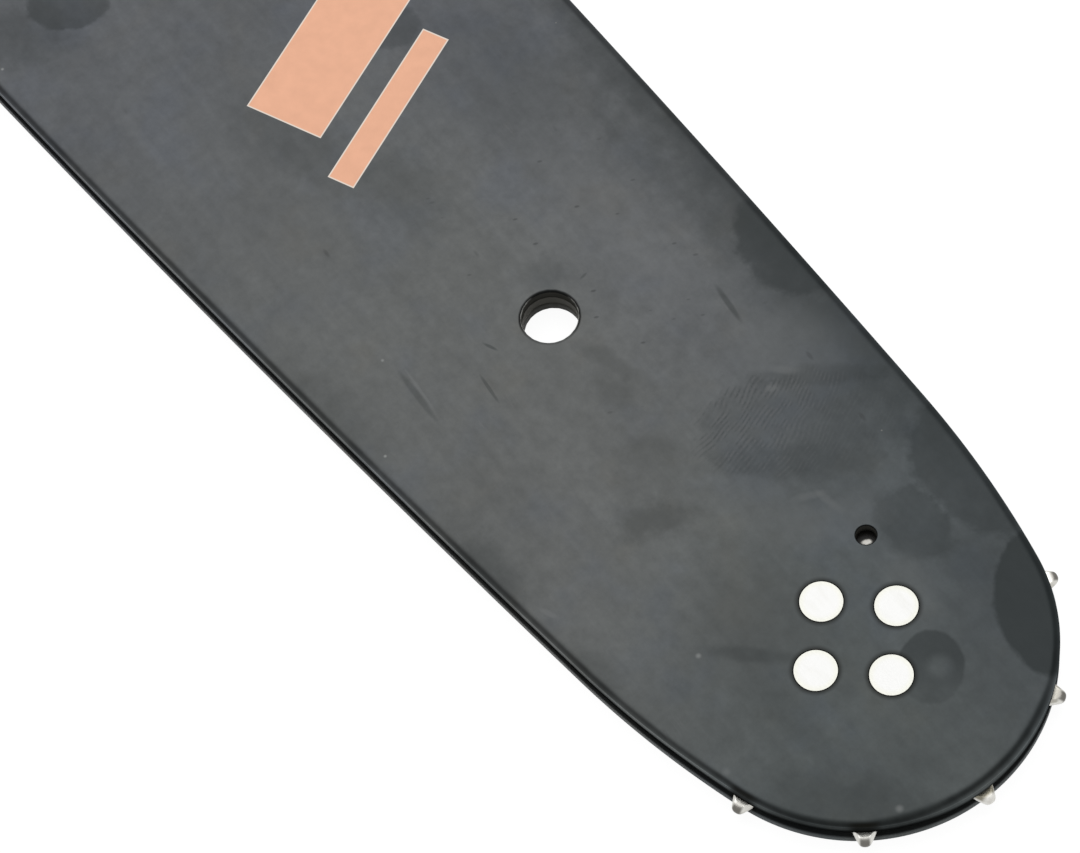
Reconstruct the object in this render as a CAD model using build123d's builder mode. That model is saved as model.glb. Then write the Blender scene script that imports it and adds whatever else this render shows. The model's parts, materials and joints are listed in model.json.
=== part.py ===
import os
from math import cos, pi, radians, sin, tan

from build123d import *

os.makedirs("parts", exist_ok=True)

# Laminated chainsaw guide bar with a sprocket nose, lying flat on its lower face.
# The origin is the middle of the stud slot on that face, +X points to the nose, +Z is up.
# Sizes are in millimetres and angles in degrees.

# Outline, the same above and below the bar's centre line
nose_distance = 445.0  # stud slot to the sprocket's axis
nose_radius = 22.4  # rails round the nose
nose_exit_slope = 15.0  # slope of the edge where the nose arc ends
shoulder_length = 23.5  # along the bar, from the nose arc to the belly arc
belly_slope = 3.9  # slope of the edge where the belly arc starts
belly_length = 171.5  # along the bar, from the shoulder to the widest point
tail_distance = 45.0  # stud slot to the tail end
tail_taper_length = 26.0
tail_taper_drop = 10.0  # how far each edge closes in at the tail
tail_corner_cut = 3.0

# Laminations
side_thickness = 1.4
core_thickness = 1.3  # also the width of the chain groove
groove_depth = 7.5
rim_bevel_width = 0.8
rim_bevel_depth = 0.25

# Holes through all three plates
locating_hole_diameter = 6.8
locating_hole_setback = 54.1  # behind the sprocket's axis
locating_hole_bevel = 0.28  # round its mouth
stud_slot_length = 62.0
stud_slot_width = 8.3
tensioner_hole_diameter = 6.8
tensioner_hole_setback = 13.0  # behind the middle of the stud slot
tensioner_hole_offset = 15.0  # from the centre line

# Oil holes, through the side plates into the groove
oil_hole_diameter = 3.4
oil_hole_advance = 9.0  # ahead of the middle of the stud slot
oil_hole_inset = 6.2  # in from the edge

# Nose sprocket
tooth_count = 10
tooth_phase = -2.75
tooth_stand_out = 1.4  # tips past the rails
tooth_tip_width = 1.05
tooth_tip_bevel = 0.35  # at each corner of a tip
tooth_flank_angle = 26.0  # between a flank and the tooth's middle line
tooth_bevel_length = 0.9  # inwards from a tip, above and below
tooth_bevel_depth = 0.3
gullet_radius = 3.6
sprocket_wall = 2.2  # between the gullets and the bore
sprocket_side_clearance = 0.05
pocket_clearance = 1.2  # between the tips and the core plate

# Bearing
roller_count = 16  # as many as fill the track, side by side
roller_play = 0.03  # on each side of a roller, towards the race and the bore
roller_gap = 0.08  # between neighbours
grease_hole_diameter = 2.4
grease_hole_angle = 134.0

# Rivets
rivet_count = 4
rivet_circle_radius = 5.9
rivet_diameter = 4.9
rivet_fit = 0.04

# Heights of the layers
core_bottom = side_thickness
core_top = core_bottom + core_thickness
bar_thickness = core_top + side_thickness
mid_height = bar_thickness / 2

# Arcs of the edge
nose_slope = radians(nose_exit_slope)
edge_slope = radians(belly_slope)
shoulder_radius = shoulder_length / (sin(nose_slope) - sin(edge_slope))
belly_radius = belly_length / sin(edge_slope)

# Tooth form, worked out beside a gullet whose middle line is local X.
# From the tip's corner a flank runs in at gullet_slope until it meets the round bottom.
tip_radius = nose_radius + tooth_stand_out
gullet_phase = tooth_phase + 180 / tooth_count
half_pitch = pi / tooth_count
gullet_slope = half_pitch + radians(tooth_flank_angle)
tip_x = tip_radius * cos(half_pitch) + tooth_tip_width / 2 * sin(half_pitch)
tip_y = tip_radius * sin(half_pitch) - tooth_tip_width / 2 * cos(half_pitch)
gullet_x = tip_x + (gullet_radius - tip_y * cos(gullet_slope)) / sin(gullet_slope)
flank_x = gullet_x - gullet_radius * sin(gullet_slope)
flank_y = gullet_radius * cos(gullet_slope)
root_radius = gullet_x - gullet_radius
mouth_x = tip_x + tip_radius
mouth_y = tip_y + tip_radius * tan(gullet_slope)

# Bearing radii: the rollers' centres lie on the track, and a roller with half a gap on each side
# takes up one step of it, which settles the roller's size
bore_radius = root_radius - sprocket_wall
roller_step = sin(pi / roller_count)
track_radius = (bore_radius - roller_play + roller_gap / 2) / (1 + roller_step)
roller_radius = track_radius * roller_step - roller_gap / 2
race_radius = track_radius - roller_radius - roller_play
running_thickness = core_thickness - 2 * sprocket_side_clearance
running_bottom = core_bottom + sprocket_side_clearance

# Planes on the sprocket's axis
nose_core = Plane((nose_distance, 0, core_bottom))
nose_running = Plane((nose_distance, 0, running_bottom))

# Face of a side plate: nose, shoulder and belly arcs, a straight run and the tail's taper, mirrored
with BuildSketch() as bar_outline:
    with BuildLine():
        nose_arc = JernArc((nose_distance + nose_radius, 0), (0, 1), nose_radius, 90 - nose_exit_slope)
        shoulder = JernArc(nose_arc @ 1, nose_arc % 1, shoulder_radius, nose_exit_slope - belly_slope)
        belly = JernArc(shoulder @ 1, shoulder % 1, belly_radius, belly_slope)
        half_width = (belly @ 1).Y
        straight = Line(belly @ 1, (tail_taper_length - tail_distance, half_width))
        taper = TangentArc(straight @ 1, (-tail_distance, half_width - tail_taper_drop), tangent=(-1, 0))
        Line(taper @ 1, (-tail_distance, 0))
        mirror(about=Plane.XZ)
    make_face()
    tail_points = bar_outline.vertices().group_by(Axis.X)[0].sort_by(Axis.Y)
    chamfer((tail_points[0], tail_points[-1]), tail_corner_cut)

# Openings that line up through all three plates
with BuildSketch() as through_holes:
    SlotOverall(stud_slot_length, stud_slot_width)
    with Locations((nose_distance - locating_hole_setback, 0)):
        Circle(locating_hole_diameter / 2)
    with Locations((-tensioner_hole_setback, 0)):
        with GridLocations(0, 2 * tensioner_hole_offset, 1, 2):
            Circle(tensioner_hole_diameter / 2)

# Openings in the side plates alone
with BuildSketch() as side_holes:
    with Locations((oil_hole_advance, 0)):
        with GridLocations(0, 2 * (half_width - oil_hole_inset), 1, 2):
            Circle(oil_hole_diameter / 2)
    with Locations((nose_distance, 0)):
        with PolarLocations(track_radius, 1, start_angle=grease_hole_angle):
            Circle(grease_hole_diameter / 2)
        with PolarLocations(rivet_circle_radius, rivet_count):
            Circle(rivet_diameter / 2 + rivet_fit)

with BuildPart() as upper_plate:
    with BuildSketch(Plane.XY.offset(core_top)):
        add(bar_outline.sketch)
        add(through_holes.sketch, mode=Mode.SUBTRACT)
        add(side_holes.sketch, mode=Mode.SUBTRACT)
    extrude(amount=side_thickness)
    outer_face = upper_plate.faces().sort_by(Axis.Z)[-1]
    chamfer(outer_face.outer_wire().edges(), rim_bevel_width, rim_bevel_depth, reference=outer_face)
    locating_mouth = (nose_distance - locating_hole_setback, 0, bar_thickness)
    mouth_edges = upper_plate.edges().filter_by(GeomType.CIRCLE).sort_by_distance(locating_mouth)
    chamfer(mouth_edges[0], locating_hole_bevel)
upper_plate.part.label = "side_plate_upper"
export_step(upper_plate.part, "parts/side_plate_upper.step")

# The lower plate is the same stamping turned over
with BuildPart() as lower_plate:
    add(upper_plate.part)
    mirror(about=Plane.XY.offset(mid_height), mode=Mode.REPLACE)
lower_plate.part.label = "side_plate_lower"
export_step(lower_plate.part, "parts/side_plate_lower.step")

# The core stops short of the edge all round, but reaches the tail end and makes room for the sprocket
with BuildPart() as core_plate:
    with BuildSketch(Plane.XY.offset(core_bottom)):
        add(bar_outline.sketch)
        offset(amount=-groove_depth, mode=Mode.REPLACE)
        with Locations((-tail_distance, 0)):
            Rectangle(
                2 * groove_depth,
                2 * (half_width - tail_taper_drop - groove_depth),
                align=(Align.MIN, Align.CENTER),
            )
        with Locations((nose_distance, 0)):
            Circle(tip_radius + pocket_clearance, mode=Mode.SUBTRACT)
        add(through_holes.sketch, mode=Mode.SUBTRACT)
    extrude(amount=core_thickness)
core_plate.part.label = "core_plate"
export_step(core_plate.part, "parts/core_plate.step")

# Space between two teeth: straight flanks that open out from a round bottom
with BuildSketch() as gullet:
    with BuildLine():
        flank = Line((mouth_x, mouth_y), (flank_x, flank_y))
        bottom = ThreePointArc(flank @ 1, (root_radius, 0), (flank_x, -flank_y))
        other_flank = Line(bottom @ 1, (mouth_x, -mouth_y))
        Line(other_flank @ 1, flank @ 0)
    make_face()

# Flat-sided blank, one side to a tooth, bevelled so that the tips thin out
with BuildPart() as blank:
    with BuildSketch(nose_running) as blank_outline:
        RegularPolygon(tip_radius, tooth_count, major_radius=False, rotation=gullet_phase)
    extrude(amount=running_thickness)
    for rim in blank.faces().filter_by(Axis.Z):
        chamfer(rim.edges(), tooth_bevel_length, tooth_bevel_depth, reference=rim)

# Star wheel: the blank with the gullets cut out and the tips' corners eased
with BuildPart() as sprocket:
    with BuildSketch(nose_running) as star:
        add(blank_outline.sketch_local)
        with PolarLocations(0, tooth_count, start_angle=gullet_phase):
            add(gullet.sketch, mode=Mode.SUBTRACT)
        tip_corners = star.vertices().sort_by_distance((0, 0, 0))[-2 * tooth_count :]
        chamfer(tip_corners, tooth_tip_bevel)
        Circle(bore_radius, mode=Mode.SUBTRACT)
    extrude(amount=running_thickness)
    add(blank.part, mode=Mode.INTERSECT)
sprocket.part.label = "nose_sprocket"
export_step(sprocket.part, "parts/nose_sprocket.step")

with BuildPart() as inner_race:
    with BuildSketch(nose_core):
        Circle(race_radius)
        with PolarLocations(rivet_circle_radius, rivet_count):
            Circle(rivet_diameter / 2 + rivet_fit, mode=Mode.SUBTRACT)
    extrude(amount=core_thickness)
inner_race.part.label = "bearing_inner_race"
export_step(inner_race.part, "parts/bearing_inner_race.step")

# Loose rollers, side by side all the way round, one of them under the grease hole
for number in range(1, roller_count + 1):
    roller_angle = radians(grease_hole_angle) + 2 * pi * (number - 1) / roller_count
    roller_x = nose_distance + track_radius * cos(roller_angle)
    roller_y = track_radius * sin(roller_angle)
    with BuildPart() as roller:
        with BuildSketch(Plane((roller_x, roller_y, running_bottom))):
            Circle(roller_radius)
        extrude(amount=running_thickness)
    roller.part.label = f"roller_{number:02d}"
    export_step(roller.part, f"parts/{roller.part.label}.step")

# Rivets through the plates and the race, ground flush with both faces
with BuildPart() as nose_rivets:
    with BuildSketch(Plane((nose_distance, 0, 0))):
        with PolarLocations(rivet_circle_radius, rivet_count):
            Circle(rivet_diameter / 2)
    extrude(amount=bar_thickness)
nose_rivets.part.label = "nose_rivets"
export_step(nose_rivets.part, "parts/nose_rivets.step")
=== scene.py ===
import json
import math

import bmesh
import bpy
from mathutils import Matrix, Vector


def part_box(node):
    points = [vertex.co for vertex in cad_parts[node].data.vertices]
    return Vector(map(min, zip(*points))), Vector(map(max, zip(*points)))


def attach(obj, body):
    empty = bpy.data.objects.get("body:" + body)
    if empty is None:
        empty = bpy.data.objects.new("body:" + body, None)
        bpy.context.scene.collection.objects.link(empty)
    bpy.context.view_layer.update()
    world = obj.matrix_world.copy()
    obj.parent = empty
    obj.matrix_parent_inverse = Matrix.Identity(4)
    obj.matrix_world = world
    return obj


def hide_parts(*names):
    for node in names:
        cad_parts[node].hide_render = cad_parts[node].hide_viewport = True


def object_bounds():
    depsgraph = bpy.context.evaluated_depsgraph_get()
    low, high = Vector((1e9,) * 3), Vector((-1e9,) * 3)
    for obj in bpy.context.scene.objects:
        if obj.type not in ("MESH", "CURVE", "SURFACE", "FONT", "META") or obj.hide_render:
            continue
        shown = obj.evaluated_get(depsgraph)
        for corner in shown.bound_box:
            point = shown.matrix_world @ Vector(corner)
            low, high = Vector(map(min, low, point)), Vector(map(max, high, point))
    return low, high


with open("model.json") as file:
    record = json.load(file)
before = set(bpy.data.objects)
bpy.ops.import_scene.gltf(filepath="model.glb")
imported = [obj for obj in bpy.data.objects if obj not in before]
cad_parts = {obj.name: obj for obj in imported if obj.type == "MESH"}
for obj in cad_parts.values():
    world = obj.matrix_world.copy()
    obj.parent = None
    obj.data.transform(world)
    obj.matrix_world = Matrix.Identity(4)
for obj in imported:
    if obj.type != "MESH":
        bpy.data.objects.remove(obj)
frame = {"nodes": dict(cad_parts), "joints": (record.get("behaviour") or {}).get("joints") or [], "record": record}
cadLow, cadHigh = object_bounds()
nodes = frame["nodes"]
print("frame loaded,", len(nodes), "pieces")

# places on the bar, read from the frame, in millimetres
mmPerMetre = 1000.0
spinJoint = next(j for j in frame["joints"] if j["name"] == "sprocket_spin")
mounts = {m["name"]: m for m in frame["record"]["mounts"]}
noseMm = Vector(spinJoint["pos_m"]) * mmPerMetre
holeMm = Vector(mounts["locating_hole"]["pos_m"]) * mmPerMetre
coreLowMm, coreHighMm = (corner.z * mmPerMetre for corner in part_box("core_plate"))
sprocketLowMm, sprocketHighMm = (corner.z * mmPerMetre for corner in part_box("nose_sprocket"))
lowerFaceMm, upperFaceMm = cadLow.z * mmPerMetre, cadHigh.z * mmPerMetre

# the sprocket's teeth, over which the plates' rails are also darker
sprocketTeeth = {"count": 10, "phase": -2.75}  # phase in degrees, at rest


# small helpers for node trees

def newNode(tree, kind, inputs=None, **settings):
    node = tree.nodes.new(kind)
    for name, value in settings.items():
        setattr(node, name, value)
    for name, value in (inputs or {}).items():
        if isinstance(value, bpy.types.NodeSocket):
            tree.links.new(value, node.inputs[name])
        else:
            node.inputs[name].default_value = value
    return node


def calc(tree, operation, *values, clamp=False):
    node = newNode(tree, "ShaderNodeMath", dict(enumerate(values)), operation=operation, use_clamp=clamp)
    return node.outputs[0]


def vecCalc(tree, operation, *values):
    node = newNode(tree, "ShaderNodeVectorMath", dict(enumerate(values)), operation=operation)
    return node.outputs["Value" if operation in ("LENGTH", "DISTANCE", "DOT_PRODUCT") else "Vector"]


def remap(tree, value, low, high, toLow=0.0, toHigh=1.0, style="SMOOTHSTEP"):
    sockets = {"Value": value, "From Min": low, "From Max": high, "To Min": toLow, "To Max": toHigh}
    return newNode(tree, "ShaderNodeMapRange", sockets, interpolation_type=style).outputs["Result"]


def mixColor(tree, factor, first, second, mode="MIX"):
    node = newNode(tree, "ShaderNodeMix", data_type="RGBA", blend_type=mode)
    for index, value in ((0, factor), (6, first), (7, second)):
        if isinstance(value, bpy.types.NodeSocket):
            tree.links.new(value, node.inputs[index])
        else:
            node.inputs[index].default_value = value if index == 0 else (*value, 1.0)
    return node.outputs[2]


def noise(tree, place, scale, detail=3.0, rough=0.55):
    sockets = {"Vector": place, "Scale": scale, "Detail": detail, "Roughness": rough}
    return newNode(tree, "ShaderNodeTexNoise", sockets).outputs["Fac"]


noiseSpan = (0.3, 0.7)  # nearly all of a noise's values lie between these


def vary(tree, value, low, high):
    return remap(tree, value, *noiseSpan, low, high, "LINEAR")


def rampOf(tree, value, stops):
    node = newNode(tree, "ShaderNodeValToRGB", {0: value})
    points = node.color_ramp.elements
    while len(points) < len(stops):
        points.new(0.5)
    for point, (place, level) in zip(points, stops):
        point.position = place
        point.color = (level, level, level, 1.0)
    return node.outputs["Color"]


def newGroup(name, inputs, outputs):
    tree = bpy.data.node_groups.new(name, "ShaderNodeTree")
    for label, kind in inputs:
        tree.interface.new_socket(label, in_out="INPUT", socket_type="NodeSocket" + kind)
    for label, kind in outputs:
        tree.interface.new_socket(label, in_out="OUTPUT", socket_type="NodeSocket" + kind)
    return tree, tree.nodes.new("NodeGroupInput").outputs, tree.nodes.new("NodeGroupOutput").inputs


def useGroup(tree, group, **sockets):
    return newNode(tree, "ShaderNodeGroup", sockets, node_tree=group).outputs


def turnBy(tree, place, angle):
    sockets = {"Vector": place, "Angle": angle}
    return newNode(tree, "ShaderNodeVectorRotate", sockets, rotation_type="Z_AXIS").outputs[0]


def splitVector(tree, vector):
    return newNode(tree, "ShaderNodeSeparateXYZ", {0: vector}).outputs


def newMaterial(name):
    material = bpy.data.materials.new(name)
    material.use_nodes = True
    tree = material.node_tree
    spot = newNode(tree, "ShaderNodeTexCoord").outputs["Object"]
    placeMm = vecCalc(tree, "MULTIPLY", spot, (mmPerMetre,) * 3)
    return material, tree, tree.nodes["Principled BSDF"], placeMm


def flatten(tree, place):
    return vecCalc(tree, "MULTIPLY", place, (1.0, 1.0, 0.0))


def flatnessOf(tree):
    # one on faces that look straight up or down, nothing on upright walls
    normal = newNode(tree, "ShaderNodeTexCoord").outputs["Normal"]
    return calc(tree, "ABSOLUTE", splitVector(tree, normal)["Z"])


def dress(material, *names):
    for name in names:
        nodes[name].data.materials.clear()
        nodes[name].data.materials.append(material)


# effects that several finishes share

patchSpan = 3.2  # radii at which a patch's gradient ends, past the reach of any ragged edge
scratchForm = {"line": (0.014, 0.002), "gapScale": 0.11, "gapFade": 0.12}
dotCore = 0.4  # share of a speckle's radius that is solid
grainForm = {"rough": 0.65, "cloudScale": 0.06, "cloudRough": 0.6}


def makeSoftPatch():
    tree, given, out = newGroup(
        "softPatch",
        [("Place", "Vector"), ("Wobble", "Float"), ("Centre", "Vector"), ("Span", "Vector"),
         ("Turn", "Vector"), ("Softness", "Float"), ("Raggedness", "Float"), ("Strength", "Float")],
        [("Mask", "Float")])
    sockets = {"Vector": given["Place"], "Location": given["Centre"], "Rotation": given["Turn"],
               "Scale": given["Span"]}
    local = newNode(tree, "ShaderNodeMapping", sockets, vector_type="TEXTURE").outputs[0]
    ball = newNode(tree, "ShaderNodeTexGradient", {0: local}, gradient_type="SPHERICAL").outputs["Fac"]
    ragged = calc(tree, "DIVIDE", given["Raggedness"], -patchSpan)
    height = calc(tree, "MULTIPLY_ADD", given["Wobble"], ragged, ball)
    middle = 1.0 - 1.0 / patchSpan
    soft = calc(tree, "DIVIDE", given["Softness"], patchSpan)
    outer, inner = calc(tree, "SUBTRACT", middle, soft), calc(tree, "ADD", middle, soft)
    tree.links.new(remap(tree, height, outer, inner, 0.0, given["Strength"]), out["Mask"])
    return tree


def makeFineScratches():
    tree, given, out = newGroup(
        "fineScratches",
        [("Place", "Vector"), ("Turn", "Float"), ("Run", "Float"), ("Spacing", "Float"), ("Share", "Float")],
        [("Mask", "Float")])
    turned = turnBy(tree, given["Place"], given["Turn"])
    grid = newNode(tree, "ShaderNodeCombineXYZ", {0: given["Run"], 1: given["Spacing"], 2: given["Run"]})
    stretched = vecCalc(tree, "DIVIDE", turned, grid.outputs[0])
    level = calc(tree, "ABSOLUTE", calc(tree, "SUBTRACT", noise(tree, stretched, 1.0, detail=1.0), 0.5))
    line = remap(tree, level, *scratchForm["line"])
    limit = calc(tree, "SUBTRACT", 1.0, given["Share"])
    gapNoise = noise(tree, given["Place"], scratchForm["gapScale"], detail=2.0)
    gaps = remap(tree, gapNoise, limit, calc(tree, "ADD", limit, scratchForm["gapFade"]))
    tree.links.new(calc(tree, "MULTIPLY", line, gaps), out["Mask"])
    return tree


def makeSpeckle():
    tree, given, out = newGroup(
        "speckle",
        [("Place", "Vector"), ("Spacing", "Float"), ("Size", "Float"), ("Share", "Float")],
        [("Mask", "Float")])
    scale = calc(tree, "DIVIDE", 1.0, given["Spacing"])
    cells = newNode(tree, "ShaderNodeTexVoronoi", {"Vector": given["Place"], "Scale": scale})
    dot = calc(tree, "MULTIPLY", given["Size"], scale)
    near = remap(tree, cells.outputs["Distance"], dot, calc(tree, "MULTIPLY", dot, dotCore))
    pick = newNode(tree, "ShaderNodeSeparateColor", {0: cells.outputs["Color"]}).outputs[0]
    kept = calc(tree, "LESS_THAN", pick, given["Share"])
    tree.links.new(calc(tree, "MULTIPLY", near, kept), out["Mask"])
    return tree


def makeRolledGrain():
    tree, given, out = newGroup(
        "rolledGrain",
        [("Place", "Vector"), ("Size", "Float"), ("Stretch", "Float")],
        [("Grain", "Float"), ("Cloud", "Float")])
    run = calc(tree, "MULTIPLY", given["Size"], given["Stretch"])
    grid = newNode(tree, "ShaderNodeCombineXYZ", {0: run, 1: given["Size"], 2: given["Size"]})
    stretched = vecCalc(tree, "DIVIDE", given["Place"], grid.outputs[0])
    cloud = noise(tree, stretched, grainForm["cloudScale"], detail=3.0, rough=grainForm["cloudRough"])
    tree.links.new(noise(tree, stretched, 1.0, detail=3.0, rough=grainForm["rough"]), out["Grain"])
    tree.links.new(cloud, out["Cloud"])
    return tree


softPatch, fineScratches = makeSoftPatch(), makeFineScratches()
speckle, rolledGrain = makeSpeckle(), makeRolledGrain()
print("shared effects made")


def markMask(tree, flat, wobble, centre, radius, turn, soft, ragged, strength=1.0):
    span = (patchSpan * radius[0], patchSpan * radius[1], 1.0)
    patch = useGroup(tree, softPatch, Place=flat, Wobble=wobble, Centre=(*centre, 0.0), Span=span,
                     Turn=(0.0, 0.0, math.radians(turn)), Softness=soft, Raggedness=ragged,
                     Strength=strength)
    return patch["Mask"]


# helpers for built meshes, working in millimetres

def roundArc(centre, radius, start, stop, steps):
    angles = [start + (stop - start) * k / steps for k in range(steps + 1)]
    return [(centre[0] + radius * math.cos(a), centre[1] + radius * math.sin(a)) for a in angles]


def insetLoop(points, depths):
    moved = []
    for i, (x, y) in enumerate(points):
        before, after = Vector(points[i - 1]), Vector(points[(i + 1) % len(points)])
        a, b = (Vector((x, y)) - before).normalized(), (after - Vector((x, y))).normalized()
        reach = depths[i] / (1.0 + a.dot(b))
        moved.append((x - (a.y + b.y) * reach, y + (a.x + b.x) * reach))
    return moved


def addRing(mesh, points, height, **marks):
    ring = [mesh.verts.new((x / mmPerMetre, y / mmPerMetre, height / mmPerMetre)) for x, y in points]
    for name, value in marks.items():
        layer = mesh.verts.layers.float[name]
        for vert in ring:
            vert[layer] = value
    return ring


def bridgeRings(mesh, rings):
    for first, second in zip(rings, rings[1:]):
        for i in range(len(first)):
            j = (i + 1) % len(first)
            mesh.faces.new((first[i], first[j], second[j], second[i])).smooth = True


def fillFlat(mesh, *rings):
    edges = [mesh.edges.get((ring[i - 1], ring[i])) for ring in rings for i in range(len(ring))]
    made = bmesh.ops.triangle_fill(mesh, edges=edges, use_beauty=True)
    for item in made["geom"]:
        if isinstance(item, bmesh.types.BMFace):
            item.smooth = False


def finishPiece(name, mesh, body, replaced, material):
    bmesh.ops.recalc_face_normals(mesh, faces=mesh.faces)
    data = bpy.data.meshes.new(name)
    mesh.to_mesh(data)
    mesh.free()
    piece = bpy.data.objects.new(name, data)
    bpy.context.scene.collection.objects.link(piece)
    data.materials.append(material)
    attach(piece, body)
    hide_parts(replaced)


# side plates: rails eased over at the rim, every hole with its own lip

barShape = {
    "noseRadius": 22.4,
    "noseExit": 15.0,  # slope of the edge where the nose arc ends, degrees
    "shoulder": 23.5,
    "bellySlope": 3.9,
    "belly": 171.5,
    "tail": 45.0,
    "taper": 26.0,
    "taperDrop": 10.0,
    "tailCut": 3.0,
    "noseSteps": 64,
    "shoulderSteps": 20,
    "bellySteps": 36,
    "taperSteps": 18,
    "rimWidth": (1.12, 1.6),  # along the edges and at the tip of the nose
    "noseBlend": (17.0, 21.5),  # from the sprocket's axis, where the rim widens
    "rimDepth": 0.11,
    "rimSteps": 10,
    "wallRings": (0.04, 0.3, 0.6),
    "innerBreak": 0.05,
    "flatStrip": 0.06,
}


def barOutline():
    shape = barShape
    noseEnd, bellyEnd = math.radians(90.0 - shape["noseExit"]), math.radians(90.0 - shape["bellySlope"])
    half = roundArc(noseMm, shape["noseRadius"], 0.0, noseEnd, shape["noseSteps"])
    shoulderRadius = shape["shoulder"] / (math.cos(noseEnd) - math.cos(bellyEnd))
    bellyRadius = shape["belly"] / math.cos(bellyEnd)
    arcs = ((shoulderRadius, noseEnd, bellyEnd, shape["shoulderSteps"]),
            (bellyRadius, bellyEnd, math.pi / 2, shape["bellySteps"]))
    for radius, start, stop, steps in arcs:
        centre = (half[-1][0] - radius * math.cos(start), half[-1][1] - radius * math.sin(start))
        half += roundArc(centre, radius, start, stop, steps)[1:]
    halfWidth = half[-1][1]
    taperRadius = (shape["taper"] ** 2 + shape["taperDrop"] ** 2) / (2.0 * shape["taperDrop"])
    taperTurn = math.asin(shape["taper"] / taperRadius) - shape["tailCut"] / taperRadius
    centre = (shape["taper"] - shape["tail"], halfWidth - taperRadius)
    half += roundArc(centre, taperRadius, math.pi / 2, math.pi / 2 + taperTurn, shape["taperSteps"])
    half.append((-shape["tail"], halfWidth - shape["taperDrop"] - shape["tailCut"]))
    return half + [(x, -y) for x, y in reversed(half[1:])], halfWidth


holeShapes = {
    "lipSteps": 4,
    "locatingLip": (0.40, 0.08, 0.06),  # width, depth and the break at the inner face
    "smallLip": (0.14, 0.07, 0.04),
    "rivetLip": (0.10, 0.05, 0.04),
    "burrAndGlint": 0.05,  # how far the locating hole's stamped wall stands in
    "burrRagged": 0.012,
    "burrWaves": (7.0, 11.0, 23.0),  # bites round the hole: two that beat together, and a fine one
    "burrPhase": 1.0,
    "fineBite": 0.6,
    "burrSteps": 144,
    "circleSteps": 72,
    "slotSteps": 24,
    "oilAdvance": 9.0,
    "oilInset": 6.2,
    "oilRadius": 1.7,
    "greaseCircle": 12.627,
    "greaseAngle": 134.0,
    "greaseRadius": 1.2,
    "rivetCircle": 5.9,
    "rivetRadius": 2.49,
}


def raggedCircle(centre, radius):
    shapes = holeShapes
    coarse, cross, fine = shapes["burrWaves"]
    points = []
    for k in range(shapes["burrSteps"]):
        turn = 2.0 * math.pi * k / shapes["burrSteps"]
        bite = math.sin(coarse * turn) * math.sin(cross * turn + shapes["burrPhase"])
        bite += shapes["fineBite"] * math.sin(fine * turn)
        reach = radius + shapes["burrRagged"] * bite
        points.append((centre[0] + reach * math.cos(turn), centre[1] + reach * math.sin(turn)))
    return points


def plateHoles(halfWidth):
    shapes = holeShapes
    slot = mounts["stud_slot"]["dims"]
    slotRadius = slot["hole_r_mm"]
    slotEnd = slot["slot_length_mm"] / 2.0 - slotRadius
    slotSteps = shapes["slotSteps"]
    slotLoop = roundArc((slotEnd, 0.0), slotRadius, -math.pi / 2, math.pi / 2, slotSteps)
    slotLoop += roundArc((-slotEnd, 0.0), slotRadius, math.pi / 2, 3 * math.pi / 2, slotSteps)
    locating = mounts["locating_hole"]["dims"]["r_mm"] - shapes["burrAndGlint"]
    circles = []
    for name in ("tensioner_hole_left", "tensioner_hole_right"):
        centre = Vector(mounts[name]["pos_m"]) * mmPerMetre
        circles.append((centre, mounts[name]["dims"]["r_mm"], "smallLip"))
    for side in (1.0, -1.0):
        centre = (shapes["oilAdvance"], side * (halfWidth - shapes["oilInset"]))
        circles.append((centre, shapes["oilRadius"], "smallLip"))
    turn = math.radians(shapes["greaseAngle"])
    grease = noseMm.xy + shapes["greaseCircle"] * Vector((math.cos(turn), math.sin(turn)))
    circles.append((grease, shapes["greaseRadius"], "smallLip"))
    # four rivets, a quarter turn apart
    for centre in roundArc(noseMm, shapes["rivetCircle"], 0.0, 1.5 * math.pi, 3):
        circles.append((centre, shapes["rivetRadius"], "rivetLip"))
    steps = shapes["circleSteps"]
    loops = [(roundArc(centre, radius, 0.0, 2 * math.pi, steps)[:-1], lip) for centre, radius, lip in circles]
    loops.append((raggedCircle(holeMm, locating), "locatingLip"))
    return loops + [(slotLoop, "smallLip")]


def sideRings(mesh, loop, faceMm, innerMm, widths, depth, steps, innerBreak, sign, bore):
    # from the flat face over the eased edge, down the wall and on to the inner face
    down = 1.0 if faceMm > innerMm else -1.0
    strip = [sign * (width + barShape["flatStrip"]) for width in widths]
    rings = [addRing(mesh, insetLoop(loop, strip), faceMm, rim=0.0, bore=bore)]
    for k in range(steps + 1):
        t = 0.5 * math.pi * k / steps
        inset = [sign * width * (1.0 - math.sin(t)) for width in widths]
        height = faceMm - down * depth * (1.0 - math.cos(t))
        rings.append(addRing(mesh, insetLoop(loop, inset), height, rim=math.sin(t), bore=bore))
    wall = abs(faceMm - innerMm) - depth
    for share in barShape["wallRings"]:
        height = faceMm - down * (depth + share * wall)
        rings.append(addRing(mesh, loop, height, rim=1.0 + share, bore=bore))
    foot = insetLoop(loop, [sign * innerBreak] * len(loop))
    rings.append(addRing(mesh, loop, innerMm + down * innerBreak, rim=2.0 - innerBreak / wall, bore=bore))
    rings.append(addRing(mesh, foot, innerMm, rim=2.0, bore=bore))
    bridgeRings(mesh, rings)
    return rings[0], rings[-1]


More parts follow.
